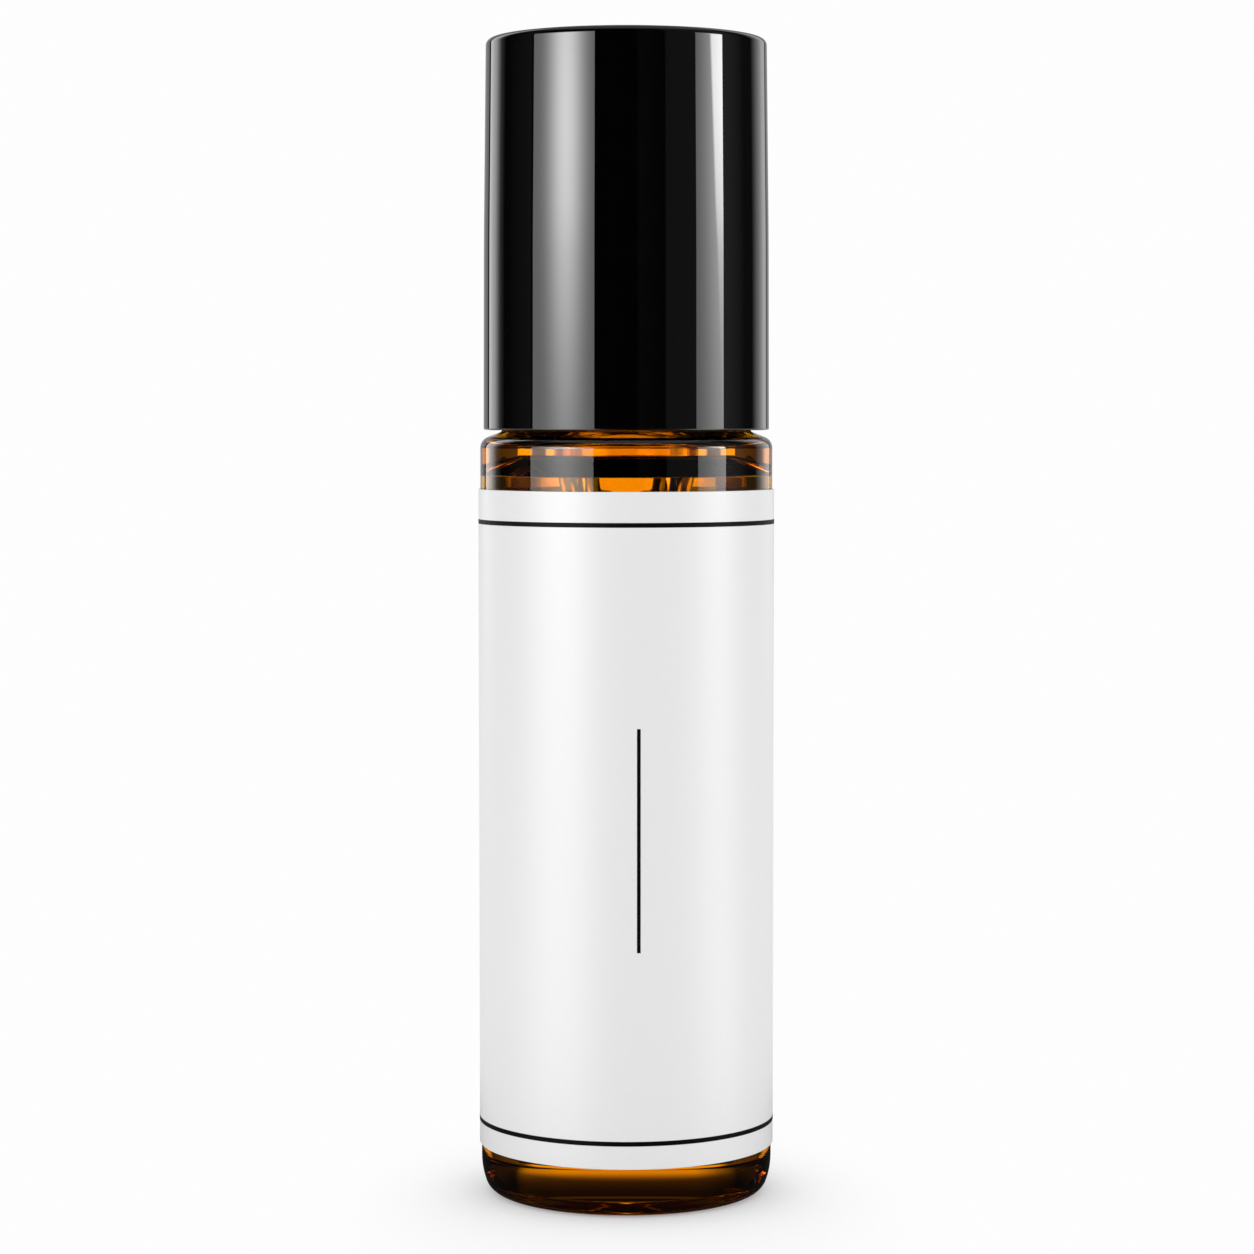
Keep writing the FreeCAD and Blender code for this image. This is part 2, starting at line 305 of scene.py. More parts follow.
def thread_height(angle, level):
    """How far the neck's thread stands out at one place."""
    height = 0
    for turn in range(math.ceil(THREAD_TURNS)):
        travel = angle + turn * TURN
        if travel > THREAD_TURNS * TURN:
            continue
        centre = bead_top + THREAD_START + THREAD_PITCH * travel / TURN
        half_base = THREAD_BASE_WIDTH / 2
        half_crest = THREAD_CREST_WIDTH / 2
        rise = (half_base - abs(level - centre)) / (half_base - half_crest)
        rise = min(max(rise, 0), 1)
        rise = rise * rise * (3 - 2 * rise)
        to_end = min(travel, THREAD_TURNS * TURN - travel)
        flat = (NECK_RADIUS + THREAD_END_HEIGHT) / math.cos(min(to_end, THREAD_END_ANGLE)) - NECK_RADIUS
        height = max(height, min(THREAD_DEPTH, flat) * rise)
    return height


def neck_relief(angle, radius, level):
    """Height of the thread on the neck's wall, and its slopes round and up the neck."""
    if abs(radius - NECK_RADIUS) > WALL_TOLERANCE or not bead_top < level < rim:
        return 0, 0, 0
    turn = SLOPE_STEP / NECK_RADIUS
    height = thread_height(angle, level)
    around = thread_height(angle + turn, level) - thread_height(angle - turn, level)
    upward = thread_height(angle, level + SLOPE_STEP) - thread_height(angle, level - SLOPE_STEP)
    around /= 2 * SLOPE_STEP
    upward /= 2 * SLOPE_STEP
    return height, around, upward


def glass_bottle():
    """Bottle of one wall: dished base, heel, barrel, shoulder, bead, threaded neck and inside."""
    chamber = body_radius - GLASS_WALL
    inner_edge = SHOULDER_EDGE_HEIGHT - SHOULDER_WALL
    throat = inner_edge + (chamber - BORE_RADIUS) * SHOULDER_INNER_RISE
    return turned_piece("glass_bottle", [
        (0, PUSH_UP_DEPTH),
        (PUSH_UP_RADIUS - PUSH_UP_SLOPE_WIDTH, PUSH_UP_DEPTH, PUSH_UP_ROUND),
        (PUSH_UP_RADIUS, 0, PUSH_UP_ROUND),
        (body_radius - HEEL_WIDTH, 0, HEEL_LOWER_ROUND),
        (body_radius, HEEL_HEIGHT, HEEL_UPPER_ROUND),
        (body_radius, SHOULDER_EDGE_HEIGHT, SHOULDER_ROUND),
        (BEAD_RADIUS, bead_foot, BEAD_ROUND),
        (BEAD_RADIUS, bead_top, BEAD_ROUND),
        (NECK_RADIUS, bead_top, BEAD_ROUND, NECK_RINGS),
        (NECK_RADIUS, rim, RIM_ROUND),
        (BORE_RADIUS, rim, RIM_ROUND),
        (BORE_RADIUS, throat, THROAT_ROUND),
        (chamber, inner_edge, SHOULDER_INNER_ROUND),
        (chamber, BASE_THICKNESS, BASE_ROUND),
        (0, BASE_THICKNESS),
    ], neck_relief)


def cap_outer():
    """Glossy shell: slightly drafted side, rounded top edge and a plain bore."""
    bore = cap_high.x - SHELL_WALL
    ceiling = cap_high.z - SHELL_ROOF
    middle = (cap_low.z + cap_high.z) / 2
    return turned_piece("cap_outer", [
        (0, ceiling),
        (bore, ceiling, SHELL_INNER_ROUND),
        (bore, cap_low.z, CAP_EDGE_ROUND),
        (cap_high.x, cap_low.z, CAP_EDGE_ROUND),
        (cap_high.x - CAP_LOW_DRAFT, middle, CAP_SIDE_ROUND),
        (cap_high.x - CAP_DRAFT, cap_high.z, CAP_TOP_ROUND),
        (0, cap_high.z),
    ])


def roller_fitment():
    """Press-in fitment: slotted skirt, plug with seal beads, flange, ball cup and feed slots."""
    plug_end = rim - PLUG_LENGTH
    skirt_end = plug_end - SKIRT_LENGTH
    socket = ball_radius + BALL_PLAY
    lip = math.sqrt(socket ** 2 - LIP_RISE ** 2)
    flange_top = rim + FLANGE_THICKNESS
    seat = ball_centre - math.sqrt(socket ** 2 - PASSAGE_RADIUS ** 2)
    seat_floor = ball_centre - socket - SEAT_FLOOR
    hollow = PLUG_RADIUS - PLUG_WALL
    foot = (PLUG_RADIUS - SKIRT_TAPER - PLUG_WALL / 2, skirt_end)
    corners = [
        foot,
        (PLUG_RADIUS - SKIRT_TAPER, skirt_end, FITMENT_ROUND),
        (PLUG_RADIUS, plug_end, FITMENT_ROUND),
    ]
    for index in range(SEAL_BEAD_COUNT, 0, -1):
        level = rim - index * SEAL_BEAD_SPACING
        corners += [
            (PLUG_RADIUS, level - SEAL_BEAD_WIDTH, SEAL_BEAD_WIDTH),
            (PLUG_RADIUS + SEAL_BEAD_HEIGHT, level, SEAL_BEAD_WIDTH),
            (PLUG_RADIUS, level + SEAL_BEAD_WIDTH, SEAL_BEAD_WIDTH),
        ]
    corners += [
        (PLUG_RADIUS, rim, 0),
        (FLANGE_RADIUS, rim, 0),
        (FLANGE_RADIUS, flange_top, FITMENT_ROUND),
        (socket + CUP_WALL, flange_top, FITMENT_ROUND),
        (lip + LIP_LAND, ball_centre + LIP_RISE, FITMENT_ROUND),
    ]
    top = math.asin(LIP_RISE / socket)
    low = -math.acos(PASSAGE_RADIUS / socket)
    for step in range(BALL_STEPS + 1):
        angle = top + (low - top) * step / BALL_STEPS
        corners.append((socket * math.cos(angle), ball_centre + socket * math.sin(angle), 0))
    corners += [
        (PASSAGE_RADIUS, seat_floor, 0),
        (hollow, seat_floor, FITMENT_ROUND),
        (hollow, plug_end, FITMENT_ROUND),
        (hollow - SKIRT_TAPER, skirt_end, FITMENT_ROUND / 2),
        foot,
    ]
    piece = ring_piece("roller_fitment", [point for point, normal in rounded_profile(corners)[:-1]])
    cutters = []
    for index in range(SKIRT_SLOT_COUNT):
        angle = TURN * (index + 0.5) / SKIRT_SLOT_COUNT
        cutters.append(box_cutter(angle, PLUG_RADIUS + CUT_MARGIN, SKIRT_SLOT_WIDTH,
                                  skirt_end - CUT_MARGIN, skirt_end + SKIRT_SLOT_HEIGHT))
    for index in range(FEED_SLOT_COUNT):
        angle = TURN * index / FEED_SLOT_COUNT
        cutters.append(box_cutter(angle, PASSAGE_RADIUS + FEED_SLOT_REACH, FEED_SLOT_WIDTH,
                                  seat_floor - CUT_MARGIN, seat + CUT_MARGIN))
    cut_slots(piece, cutters)
    return piece


def steel_ball():
    """Ball, turned from a half circle."""
    profile = []
    for step in range(BALL_STEPS + 1):
        angle = math.pi * (step / BALL_STEPS - 0.5)
        arm = Vector((math.cos(angle), math.sin(angle)))
        if step in (0, BALL_STEPS):
            arm.x = 0
        profile.append((arm * ball_radius + Vector((0, ball_centre)), arm))
    return turned_profile("steel_ball", profile)


def wrapped_sheet(name, inner, outer, low, high, left, right, corner=0, bevel=0):
    """Thin sheet bent round the barrel between two angles, with rounded corners and broken edges."""
    inset_angles = [math.pi / 2 * step / ARC_STEPS for step in range(ARC_STEPS + 1)] if corner else [0]
    columns = []
    for inset in inset_angles:
        columns.append((left + corner * (1 - math.cos(inset)) / outer, corner * (1 - math.sin(inset))))
    flat_left = columns[-1][0]
    flat_right = right - (flat_left - left)
    count = max(2, round(SEGMENTS * (flat_right - flat_left) / TURN))
    for step in range(1, count):
        columns.append((flat_left + (flat_right - flat_left) * step / count, 0))
    for inset in reversed(inset_angles):
        columns.append((right - corner * (1 - math.cos(inset)) / outer, corner * (1 - math.sin(inset))))
    verts = []
    for angle, inset in columns:
        bottom, top = low + inset, high - inset
        section = [(outer, bottom + bevel), (outer, top - bevel), (outer - bevel, top),
                   (inner, top), (inner, bottom), (outer - bevel, bottom)]
        verts += [(radius * math.sin(angle), -radius * math.cos(angle), level) for radius, level in section]
    size = len(section)
    faces = [tuple(reversed(range(size)))]
    for column in range(len(columns) - 1):
        here, after = column * size, (column + 1) * size
        for side in range(size):
            turn = (side + 1) % size
            faces.append((here + side, after + side, after + turn, here + turn))
    last = (len(columns) - 1) * size
    faces.append(tuple(range(last, last + size)))
    piece = add_piece(name, verts, faces)
    piece.data.set_sharp_from_angle(angle=SHARP_ANGLE)
    return piece


def label_pieces():
    """The wrap label and its three printed rules."""
    outer = min(label_high.x, -label_low.y) - INK
    inner = body_radius + LABEL_GLUE
    half = math.pi - LABEL_SEAM / 2 / label_high.x
    wrap = wrapped_sheet("wrap_label", inner, outer, label_low.z, label_high.z, -half, half,
                         LABEL_CORNER, LABEL_BEVEL)
    rules = []
    for name, level in (("label_rule_top", RULE_TOP_LEVEL), ("label_rule_bottom", RULE_BOTTOM_LEVEL)):
        rules.append(wrapped_sheet(name, outer, outer + INK, level - RULE_WIDTH / 2, level + RULE_WIDTH / 2,
                                   -half, half))
    half_width = DIVIDER_WIDTH / 2 / outer
    rules.append(wrapped_sheet("label_divider", outer, outer + INK, DIVIDER_LOW, DIVIDER_HIGH,
                               DIVIDER_ANGLE - half_width, DIVIDER_ANGLE + half_width))
    return wrap, rules


# Materials


NOISE_SPAN = (0.3, 0.7)
FIBRE_STRETCH = (1, 1, 0.35)
LAPPING_STRETCH = (1, 1, 8)


def new_material(name):
    """Node material with a Principled surface; returns it with its tree and surface node."""
    material = bpy.data.materials.new(name)
    material.use_nodes = True
    tree = material.node_tree
    return material, tree, tree.nodes["Principled BSDF"]


def noise(tree, scale, detail=2.0, stretch=(1, 1, 1)):
    """Noise in the object's own coordinates; scale is in waves per metre."""
    place = tree.nodes.new("ShaderNodeTexCoord")
    mapping = tree.nodes.new("ShaderNodeMapping")
    mapping.inputs["Scale"].default_value = stretch
    texture = tree.nodes.new("ShaderNodeTexNoise")
    texture.inputs["Scale"].default_value = scale
    texture.inputs["Detail"].default_value = detail
    tree.links.new(place.outputs["Object"], mapping.inputs["Vector"])
    tree.links.new(mapping.outputs["Vector"], texture.inputs["Vector"])
    return texture.outputs["Fac"]


def roughen(tree, surface, source, low, high):
    """Roughness of a surface, which wanders between two values."""
    node = tree.nodes.new("ShaderNodeMapRange")
    node.inputs["From Min"].default_value = NOISE_SPAN[0]
    node.inputs["From Max"].default_value = NOISE_SPAN[1]
    node.inputs["To Min"].default_value = low
    node.inputs["To Max"].default_value = high
    tree.links.new(source, node.inputs["Value"])
    tree.links.new(node.outputs["Result"], surface.inputs["Roughness"])


def tint(tree, surface, source, dark, light):
    """Colour of a surface, which wanders between two close tones."""
    node = tree.nodes.new("ShaderNodeMix")
    node.data_type = "RGBA"
    node.inputs["A"].default_value = (*dark, 1)
    node.inputs["B"].default_value = (*light, 1)
    tree.links.new(source, node.inputs["Factor"])
    tree.links.new(node.outputs["Result"], surface.inputs["Base Color"])


def bump(tree, surface, source, depth, strength=1.0):
    """Fine relief on a surface; depth in metres."""
    node = tree.nodes.new("ShaderNodeBump")
    node.inputs["Strength"].default_value = strength
    node.inputs["Distance"].default_value = depth
    tree.links.new(source, node.inputs["Height"])
    tree.links.new(node.outputs["Normal"], surface.inputs["Normal"])


def amber_glass():
    """Clear amber glass, tinted at its surfaces and darker through thick glass."""
    material, tree, surface = new_material("amber_glass")
    surface.inputs["Base Color"].default_value = (1, 0.545, 0.03, 1)
    surface.inputs["Transmission Weight"].default_value = 1
    surface.inputs["IOR"].default_value = 1.52
    surface.inputs["Roughness"].default_value = 0
    bump(tree, surface, noise(tree, scale=260), depth=0.004 * MM)
    volume = tree.nodes.new("ShaderNodeVolumeAbsorption")
    volume.inputs["Color"].default_value = (0.93, 0.82, 0.0, 1)
    volume.inputs["Density"].default_value = 300
    tree.links.new(volume.outputs["Volume"], tree.nodes["Material Output"].inputs["Volume"])
    return material


def gloss_black():
    """High-gloss black moulded plastic with a faint moulding ripple."""
    material, tree, surface = new_material("gloss_black")
    speckle = noise(tree, scale=900, detail=4)
    tint(tree, surface, speckle, dark=(0.0004, 0.0004, 0.0005), light=(0.0009, 0.0009, 0.001))
    roughen(tree, surface, noise(tree, scale=2500, detail=6), low=0.012, high=0.03)
    surface.inputs["IOR"].default_value = 1.5
    bump(tree, surface, noise(tree, scale=180), depth=0.002 * MM)
    return material


def label_stock():
    """White matt label stock with a soft sheen and fine fibres."""
    material, tree, surface = new_material("label_stock")
    fibres = noise(tree, scale=9000, detail=5, stretch=FIBRE_STRETCH)
    tint(tree, surface, fibres, dark=(0.80, 0.80, 0.805), light=(0.835, 0.835, 0.835))
    roughen(tree, surface, noise(tree, scale=3000, detail=4), low=0.33, high=0.41)
    surface.inputs["IOR"].default_value = 1.53
    bump(tree, surface, fibres, depth=0.002 * MM, strength=0.5)
    return material


def black_ink():
    """Printed black, a little uneven where it lies on the fibres."""
    material, tree, surface = new_material("black_ink")
    fibres = noise(tree, scale=9000, detail=5, stretch=FIBRE_STRETCH)
    tint(tree, surface, fibres, dark=(0.0008, 0.0008, 0.0008), light=(0.003, 0.003, 0.003))
    roughen(tree, surface, noise(tree, scale=3000, detail=4), low=0.4, high=0.55)
    surface.inputs["Specular IOR Level"].default_value = 0.07
    return material


def polished_steel():
    """Polished stainless steel with hairline lapping marks."""
    material, tree, surface = new_material("polished_steel")
    marks = noise(tree, scale=4000, detail=6, stretch=LAPPING_STRETCH)
    tint(tree, surface, marks, dark=(0.56, 0.56, 0.57), light=(0.66, 0.66, 0.67))
    roughen(tree, surface, marks, low=0.05, high=0.14)
    surface.inputs["Metallic"].default_value = 1
    return material


def natural_plastic():
    """Natural polyethylene of the roller fitment, clear with a slight haze."""
    material, tree, surface = new_material("natural_plastic")
    haze = noise(tree, scale=1500, detail=4)
    tint(tree, surface, haze, dark=(0.95, 0.95, 0.94), light=(0.98, 0.98, 0.97))
    surface.inputs["Transmission Weight"].default_value = 1
    surface.inputs["IOR"].default_value = 1.5
    roughen(tree, surface, haze, low=0.01, high=0.05)
    bump(tree, surface, noise(tree, scale=700), depth=0.003 * MM)
    return material


def satin_white(name, dark, light, grain):
    """White plastic with a satin moulded grain."""
    material, tree, surface = new_material(name)
    tint(tree, surface, noise(tree, scale=1200, detail=4), dark, light)
    roughen(tree, surface, noise(tree, scale=2500, detail=4), low=0.32, high=0.48)
    surface.inputs["Subsurface Weight"].default_value = 0.15
    surface.inputs["Subsurface Scale"].default_value = 0.4 * MM
    bump(tree, surface, noise(tree, scale=grain, detail=3), depth=0.01 * MM)
    return material


# Studio


# Brightness by angle from the camera's side, which gloss sees: edge flags, backdrop and dim walls
GLOSS_LEVELS = [
    (-180, 0.45), (-150, 0.45), (-149, 0.02), (-146, 0.02), (-145, 2.5), (-132, 2.0), (-123, 0.25),
    (-116, 0.01), (-108, 0.02), (-83, 0.1), (-82, 0.01), (9, 0.0), (10, 0.04), (29, 0.01), (31, 0.01),
    (32, 0.12), (84, 0.14), (85, 0.3), (110, 0.04), (122, 0.03), (131, 0.7), (145, 1.5), (154, 1.2),
    (155, 0.02), (157, 0.02), (158, 0.45), (180, 0.45),
]
# Painted light on the floor that gloss sees: pools painted below the two softboxes
PAINTED_POOL_LEVELS = [
    (-180, 0.8), (-100, 0.8), (-85, 1.0), (-75, 2.3), (-55, 3.8), (-30, 2.6), (-20, 0.4), (0, 0.05),
    (45, 0.3), (55, 1.4), (70, 3.0), (84, 3.0), (90, 1.2), (100, 0.8), (180, 0.8),
]
# Painted light on the far floor that is seen through glass: a bright strip between two dim sides
PAINTED_STRIP_LEVELS = [
    (-180, 1.4), (-174.5, 1.2), (-171, 0.6), (-168.5, 0.1), (-150, 0.02), (150, 0.02), (168.5, 0.08),
    (171, 0.4), (174.5, 1.1), (180, 1.4),
]
# The backdrop above it: wide and bright behind the bottle, and dim at the sides
WIDE_LEVELS = [
    (-180, 1.45), (-160, 1.4), (-150, 0.5), (-140, 0.04), (-100, 0.02), (100, 0.02), (140, 0.04),
    (146, 0.9), (160, 1.4), (180, 1.45),
]
# The backdrop at the horizon: bright far round both sides, with one dim gap on each
HORIZON_LEVELS = [
    (-180, 1.45), (-152, 1.4), (-147, 0.15), (-121, 0.06), (-116, 1.3), (-106, 1.4), (-98, 0.1),
    (-90, 0.02), (90, 0.02), (98, 0.1), (106, 1.4), (116, 1.3), (121, 0.06), (147, 0.15), (152, 1.4),
    (180, 1.45),
]
# Share of the backdrop's brightness by degrees over the horizon: dark above 6 but for a faint line at 9,
# up to a high glow
GLOW_HEIGHTS = [
    (0, 1), (4, 1), (6, 0.03), (9, 0.006), (9.15, 0.05), (9.5, 0.05), (9.65, 0.008), (11.1, 0.012),
    (12.1, 0.022), (12.6, 0.03), (13.3, 0.04), (14.2, 0.078), (15.1, 0.19), (16.1, 0.4), (17, 0.66),
    (18, 0.8), (30, 0.8),
]
# Heights as shares of the glow's top: where the horizon ends, and where the walls turn into the ceiling
HORIZON_END = (0.15, 0.2)
OVERHEAD_START = (1.6, 2.0)
OVERHEAD_LEVEL = 0.6
DOME_LEVEL = 1.0
BACKGROUND_LEVEL = 0.985
WORLD_SCALE = 3.0

# Floor by distance from the bottle: where gloss starts and stops seeing painted light pools, and where glass
# does
GLOSS_FLOOR = (30 * MM, 50 * MM)
GLOSS_FLOOR_END = (500 * MM, 1400 * MM)
GLASS_FLOOR = (1300 * MM, 2000 * MM)
# Painted shade on the floor near the bottle, as gloss and glass see it
PAINTED_SHADE_LEVEL = 0.02
FLOOR_SCALE = 5.0
FLOOR_HALF_SIZE = 3.0
FLOOR_WHITE = (0.985, 0.985, 0.985, 1)
FLOOR_ROUGHNESS = 0.9

# Patch of the floor that keeps the shadow: it lies towards the camera and is longest that way
SHADOW_SHIFT = (0, 5 * MM, 0)
SHADOW_SQUEEZE = (1, 0.6, 1)
SHADOW_SPAN = (9 * MM, 22 * MM)
SHADOW_LEAST_GLOW = 0.29

# Softboxes
SOFTBOX_DISTANCE = 450 * MM
SOFTBOX_LOW = 5 * MM
SOFTBOX_HIGH = 210 * MM
WEDGE_SOFTNESS = (0, 0.08)
BELL_BASE = math.exp(-0.5)


def math_node(tree, operation, first, second):
    """Math node on two values, each a socket or a number."""
    node = tree.nodes.new("ShaderNodeMath")
    node.operation = operation
    for socket, value in zip(node.inputs, (first, second)):
        if isinstance(value, (int, float)):
            socket.default_value = value
        else:
            tree.links.new(value, socket)
    return node.outputs[0]


def mix_colour(tree, factor, first, second):
    """Mix of two colours, each a socket or a grey level."""
    node = tree.nodes.new("ShaderNodeMix")
    node.data_type = "RGBA"
    tree.links.new(factor, node.inputs["Factor"])
    for name, value in (("A", first), ("B", second)):
        if isinstance(value, float):
            node.inputs[name].default_value = (value, value, value, 1)
        else:
            tree.links.new(value, node.inputs[name])
    return node.outputs["Result"]


def level_ramp(tree, share, levels, scale):
    """Grey levels by degrees, as shares of a scale, read off at a share of the degrees that they span."""
    ramp = tree.nodes.new("ShaderNodeValToRGB")
    stops = ramp.color_ramp.elements
    first, last = levels[0][0], levels[-1][0]
    for degrees, level in levels[1:-1]:
        stops.new((degrees - first) / (last - first))
    for stop, (degrees, level) in zip(stops, levels):
        stop.color = (level / scale, level / scale, level / scale, 1)
    tree.links.new(share, ramp.inputs["Fac"])
    return ramp.outputs["Color"]


def rising_share(tree, value, span):
    """Share that rises from none at a span's start to one at its end."""
    node = tree.nodes.new("ShaderNodeMapRange")
    node.inputs["From Min"].default_value = span[0]
    node.inputs["From Max"].default_value = span[1]
    tree.links.new(value, node.inputs["Value"])
    return node.outputs["Result"]


def turn_share(tree, split):
    """Share of the full turn at which a split vector points, with the camera's side at a half."""
    backwards = math_node(tree, "MULTIPLY", split.outputs["Y"], -1)
    azimuth = math_node(tree, "ARCTAN2", split.outputs["X"], backwards)
    return math_node(tree, "ADD", math_node(tree, "DIVIDE", azimuth, TURN), 0.5)


def studio_world():
    """White to the camera, an even dome to matt surfaces, and a studio to gloss and glass."""
    world = bpy.data.worlds.new("studio")
    scene.world = world
    world.use_nodes = True
    tree = world.node_tree
    path = tree.nodes.new("ShaderNodeLightPath")
    place = tree.nodes.new("ShaderNodeTexCoord")
    split = tree.nodes.new("ShaderNodeSeparateXYZ")
    tree.links.new(place.outputs["Generated"], split.inputs["Vector"])
    share = turn_share(tree, split)
    height = math_node(tree, "ARCSINE", split.outputs["Z"], 0)
    height = math_node(tree, "DIVIDE", height, math.radians(GLOW_HEIGHTS[-1][0]))
    backdrop = mix_colour(tree, rising_share(tree, height, HORIZON_END),
                          level_ramp(tree, share, HORIZON_LEVELS, WORLD_SCALE),
                          level_ramp(tree, share, WIDE_LEVELS, WORLD_SCALE))
    backdrop = mix_colour(tree, level_ramp(tree, height, GLOW_HEIGHTS, 1), 0.0, backdrop)
    walls = mix_colour(tree, rising_share(tree, height, OVERHEAD_START),
                       level_ramp(tree, share, GLOSS_LEVELS, WORLD_SCALE), OVERHEAD_LEVEL / WORLD_SCALE)
    reflected = mix_colour(tree, path.outputs["Is Glossy Ray"], DOME_LEVEL / WORLD_SCALE, walls)
    seen_through = mix_colour(tree, path.outputs["Is Transmission Ray"], reflected, backdrop)
    colour = mix_colour(tree, path.outputs["Is Camera Ray"], seen_through, BACKGROUND_LEVEL / WORLD_SCALE)
    background = tree.nodes["Background"]
    background.inputs["Strength"].default_value = WORLD_SCALE
    tree.links.new(colour, background.inputs["Color"])


def vector_length(tree, vector):
    """Length of a vector."""
    node = tree.nodes.new("ShaderNodeVectorMath")
    node.operation = "LENGTH"
    tree.links.new(vector, node.inputs[0])
    return node.outputs["Value"]


def shadow_fade(tree, place):
    """Share of the floor's own glow: least round the bottle, where its shadow falls, and full far off."""
    mapping = tree.nodes.new("ShaderNodeMapping")
    mapping.inputs["Location"].default_value = SHADOW_SHIFT
    mapping.inputs["Scale"].default_value = SHADOW_SQUEEZE
    tree.links.new(place, mapping.inputs["Vector"])
    fade = tree.nodes.new("ShaderNodeMapRange")
    fade.interpolation_type = "SMOOTHSTEP"
    fade.inputs["From Min"].default_value = SHADOW_SPAN[0]
    fade.inputs["From Max"].default_value = SHADOW_SPAN[1]
    fade.inputs["To Min"].default_value = SHADOW_LEAST_GLOW
    fade.inputs["To Max"].default_value = 1
    tree.links.new(vector_length(tree, mapping.outputs["Vector"]), fade.inputs["Value"])
    return fade.outputs["Result"]


def floor_glow_and_painted_light(tree, place, path):
    """Floor glow: white to the camera, painted shade and light pools to gloss, a painted far strip to glass.
    """
    split = tree.nodes.new("ShaderNodeSeparateXYZ")
    tree.links.new(place, split.inputs["Vector"])
    share = turn_share(tree, split)
    distance = vector_length(tree, place)
    # Painted shade on the floor near the bottle
    dark = PAINTED_SHADE_LEVEL / FLOOR_SCALE
    # Painted pools of light below the softboxes, giving way far off to the walls' levels painted on the floor
    painted_pools = mix_colour(tree, rising_share(tree, distance, GLOSS_FLOOR_END),
                     level_ramp(tree, share, PAINTED_POOL_LEVELS, FLOOR_SCALE),
                     level_ramp(tree, share, GLOSS_LEVELS, FLOOR_SCALE))
    in_gloss = mix_colour(tree, rising_share(tree, distance, GLOSS_FLOOR), dark, painted_pools)
    in_glass = mix_colour(tree, rising_share(tree, distance, GLASS_FLOOR), dark,
                          level_ramp(tree, share, PAINTED_STRIP_LEVELS, FLOOR_SCALE))
    level = mix_colour(tree, path.outputs["Is Glossy Ray"], BACKGROUND_LEVEL / FLOOR_SCALE, in_gloss)
    level = mix_colour(tree, path.outputs["Is Transmission Ray"], level, in_glass)
    glow = tree.nodes.new("ShaderNodeEmission")
    glow.inputs["Strength"].default_value = FLOOR_SCALE
    tree.links.new(level, glow.inputs["Color"])
    return glow.outputs["Emission"]


def mix_shaders(tree, factor, first, second):
    """Mix of two shaders."""
    node = tree.nodes.new("ShaderNodeMixShader")
    tree.links.new(factor, node.inputs["Fac"])
    tree.links.new(first, node.inputs[1])
    tree.links.new(second, node.inputs[2])
    return node.outputs["Shader"]


def floor_white():
    """White that keeps the bottle's shadow, fades to plain white and is clear from below."""
    material, tree, surface = new_material("floor_white")
    material.cycles.emission_sampling = "NONE"
    surface.inputs["Base Color"].default_value = FLOOR_WHITE
    surface.inputs["Roughness"].default_value = FLOOR_ROUGHNESS
    surface.inputs["Specular IOR Level"].default_value = 0
    place = tree.nodes.new("ShaderNodeTexCoord").outputs["Object"]
    path = tree.nodes.new("ShaderNodeLightPath")
    share = math_node(tree, "MULTIPLY", shadow_fade(tree, place), path.outputs["Is Camera Ray"])
    # Gloss and glass see only the floor's glow, with its painted shade and painted light
    share = math_node(tree, "MAXIMUM", share, path.outputs["Is Glossy Ray"])
    share = math_node(tree, "MAXIMUM", share, path.outputs["Is Transmission Ray"])
    upper = mix_shaders(tree, share, surface.outputs["BSDF"], floor_glow_and_painted_light(tree, place, path))
    below = tree.nodes.new("ShaderNodeNewGeometry").outputs["Backfacing"]
    clear = tree.nodes.new("ShaderNodeBsdfTransparent").outputs["BSDF"]
    both = mix_shaders(tree, below, upper, clear)
    tree.links.new(both, tree.nodes["Material Output"].inputs["Surface"])
    return material


def floor():
    """Level floor under the bottle."""
    half = FLOOR_HALF_SIZE
    verts = [(-half, -half, 0), (half, -half, 0), (half, half, 0), (-half, half, 0)]
    plane = add_piece("floor", verts, [(0, 1, 2, 3)])
    plane.data.materials.append(floor_white())


def panel(name, azimuth, distance, low, high, half_angle, radiance):
    """Upright light panel that only gloss and glass see; returns its node tree and place across and up."""
    light = bpy.data.lights.new(name, "AREA")
    light.shape = "RECTANGLE"
    light.size = 2 * distance * math.tan(math.radians(half_angle))
    light.size_y = high - low
    light.energy = radiance * light.size * light.size_y * math.pi
    light.use_nodes = True
    tree = light.node_tree
    stand = bpy.data.objects.new(name, light)
    angle = math.radians(azimuth)
    stand.location = (distance * math.sin(angle), -distance * math.cos(angle), (low + high) / 2)
    stand.rotation_euler = (math.pi / 2, 0, angle)
    stand.visible_camera = False
    stand.visible_diffuse = False
    scene.collection.objects.link(stand)
    place = tree.nodes.new("ShaderNodeNewGeometry")
    split = tree.nodes.new("ShaderNodeSeparateXYZ")
    tree.links.new(place.outputs["Parametric"], split.inputs["Vector"])
    return tree, split.outputs["X"], split.outputs["Y"]


def bell(tree, value, middle, width):
    """Bell curve of a value about its middle."""
    away = math_node(tree, "DIVIDE", math_node(tree, "SUBTRACT", value, middle), width)
    return math_node(tree, "POWER", BELL_BASE, math_node(tree, "MULTIPLY", away, away))


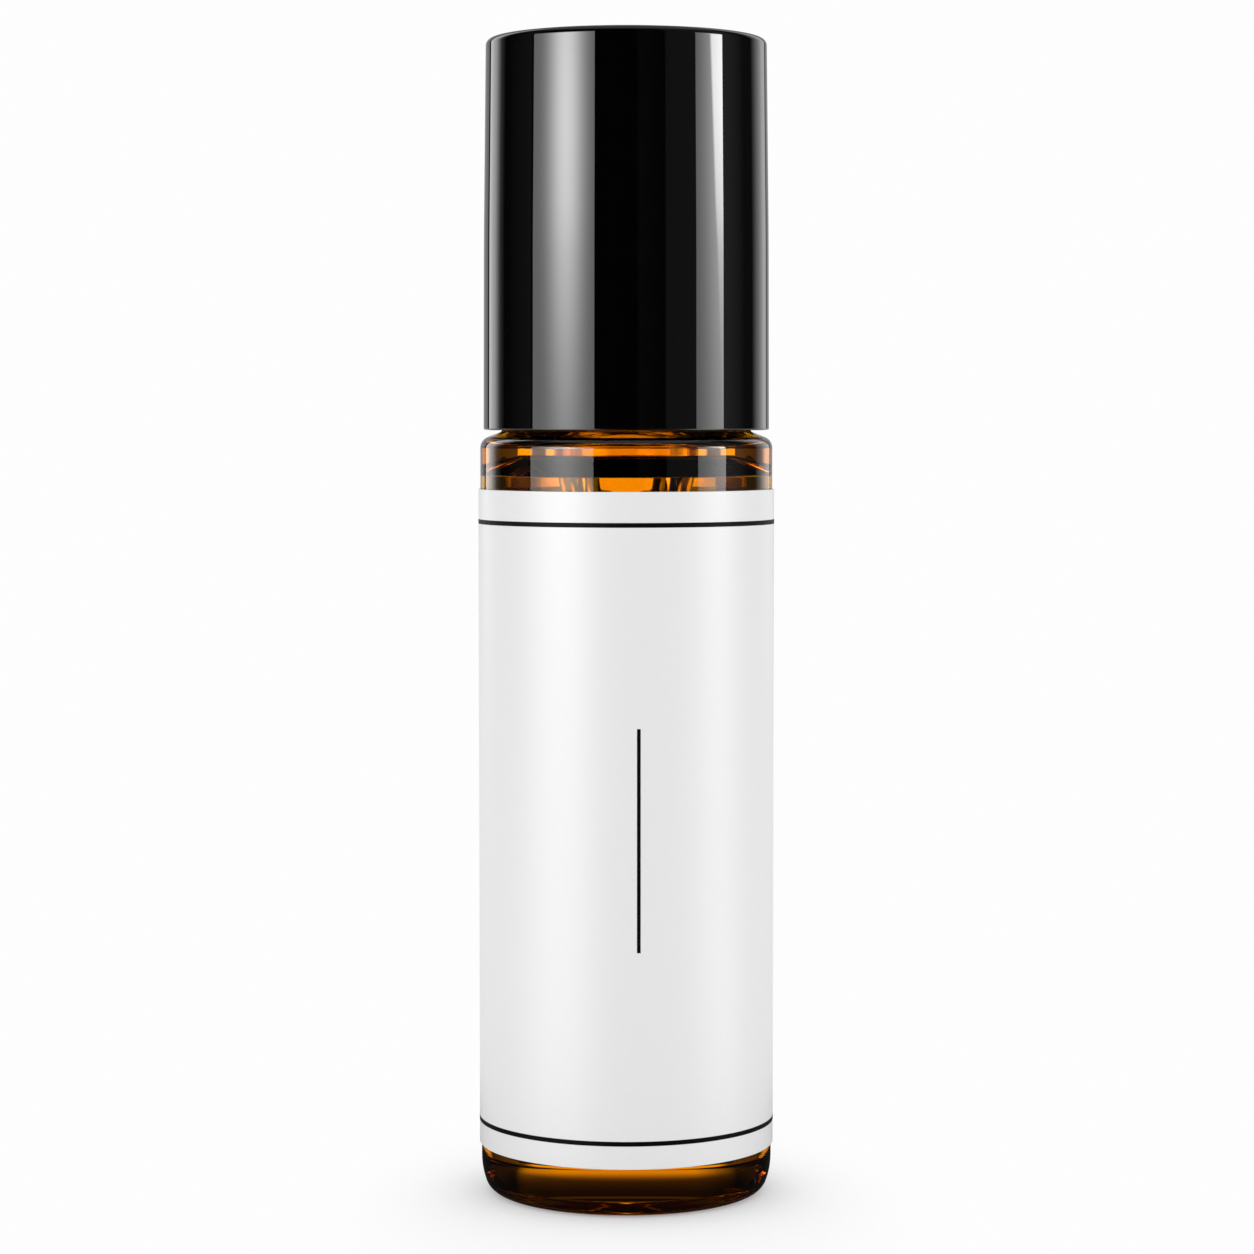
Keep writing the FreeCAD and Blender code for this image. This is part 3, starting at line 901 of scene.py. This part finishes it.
def softbox(name, azimuth, half_angle, radiance, middle, widths, base, wedge=None):
    """Upright softbox, brightest at its hot spot; a wedge of bare tube may shine at its far edge.
    The spot's middle and widths are a share across and a height; base is the share of light off the spot."""
    tree, across, up = panel(name, azimuth, SOFTBOX_DISTANCE, SOFTBOX_LOW, SOFTBOX_HIGH, half_angle, radiance)
    height = math_node(tree, "MULTIPLY", up, SOFTBOX_HIGH - SOFTBOX_LOW)
    height = math_node(tree, "ADD", height, SOFTBOX_LOW)
    spot = math_node(tree, "MULTIPLY", bell(tree, across, middle[0], widths[0]),
                     bell(tree, height, middle[1], widths[1]))
    strength = math_node(tree, "ADD", math_node(tree, "MULTIPLY", spot, 1 - base), base)
    if wedge:
        border = math_node(tree, "SUBTRACT", height, wedge["height"])
        border = math_node(tree, "MULTIPLY", border, wedge["slope"])
        inside = math_node(tree, "SUBTRACT", math_node(tree, "ADD", across, border), wedge["edge"])
        inside = rising_share(tree, inside, WEDGE_SOFTNESS)
        inside = math_node(tree, "MULTIPLY", inside, bell(tree, height, wedge["height"], wedge["width"]))
        strength = math_node(tree, "ADD", strength, math_node(tree, "MULTIPLY", inside, wedge["gain"]))
    tree.links.new(strength, tree.nodes["Emission"].inputs["Strength"])


def camera():
    """Camera at the photograph's place and angle."""
    data = bpy.data.cameras.new("camera")
    data.sensor_width = SENSOR_WIDTH
    data.lens = SENSOR_WIDTH * FOCAL_PIXELS / IMAGE_WIDTH
    data.clip_start = CAMERA_CLIP
    eye = bpy.data.objects.new("camera", data)
    eye.location = CAMERA_PLACE
    eye.rotation_euler = (math.pi / 2 - CAMERA_TILT, 0, 0)
    scene.collection.objects.link(eye)
    scene.camera = eye


# Assembly


def dress(piece, material, body, node=None):
    """Give a new piece its material and body, and the node that it stands for."""
    piece.data.materials.append(material)
    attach(piece, body)
    if node:
        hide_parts(node)


def finish_node(node, material):
    """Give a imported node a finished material."""
    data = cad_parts[node].data
    data.materials.clear()
    data.materials.append(material)


dress(glass_bottle(), amber_glass(), "bottle", "bottle")
wrap, rules = label_pieces()
dress(wrap, label_stock(), "bottle", "label")
ink = black_ink()
for rule in rules:
    dress(rule, ink, "bottle")
dress(cap_outer(), gloss_black(), "cap", "cap_shell")
dress(steel_ball(), polished_steel(), "ball", "roller_ball")
dress(roller_fitment(), natural_plastic(), "bottle", "roller_housing")
finish_node("inner_cap", satin_white("liner_white", (0.78, 0.78, 0.77), (0.84, 0.84, 0.83), 1800))
finish_node("seal_disc", satin_white("foam_white", (0.8, 0.79, 0.76), (0.87, 0.86, 0.83), 5200))

studio_world()
floor()
softbox("softbox_left", azimuth=-52.5, half_angle=27.3, radiance=15.5,
        middle=(0.56, 121 * MM), widths=(0.175, 42 * MM), base=0.155)
softbox("softbox_right", azimuth=70.5, half_angle=13.2, radiance=8,
        middle=(1.0, 121 * MM), widths=(0.5, 59.4 * MM), base=0.2,
        wedge={"edge": 0.53, "height": 129 * MM, "slope": 5.0, "gain": 1.4, "width": 26.5 * MM})
camera()
scene.view_settings.view_transform = "Standard"
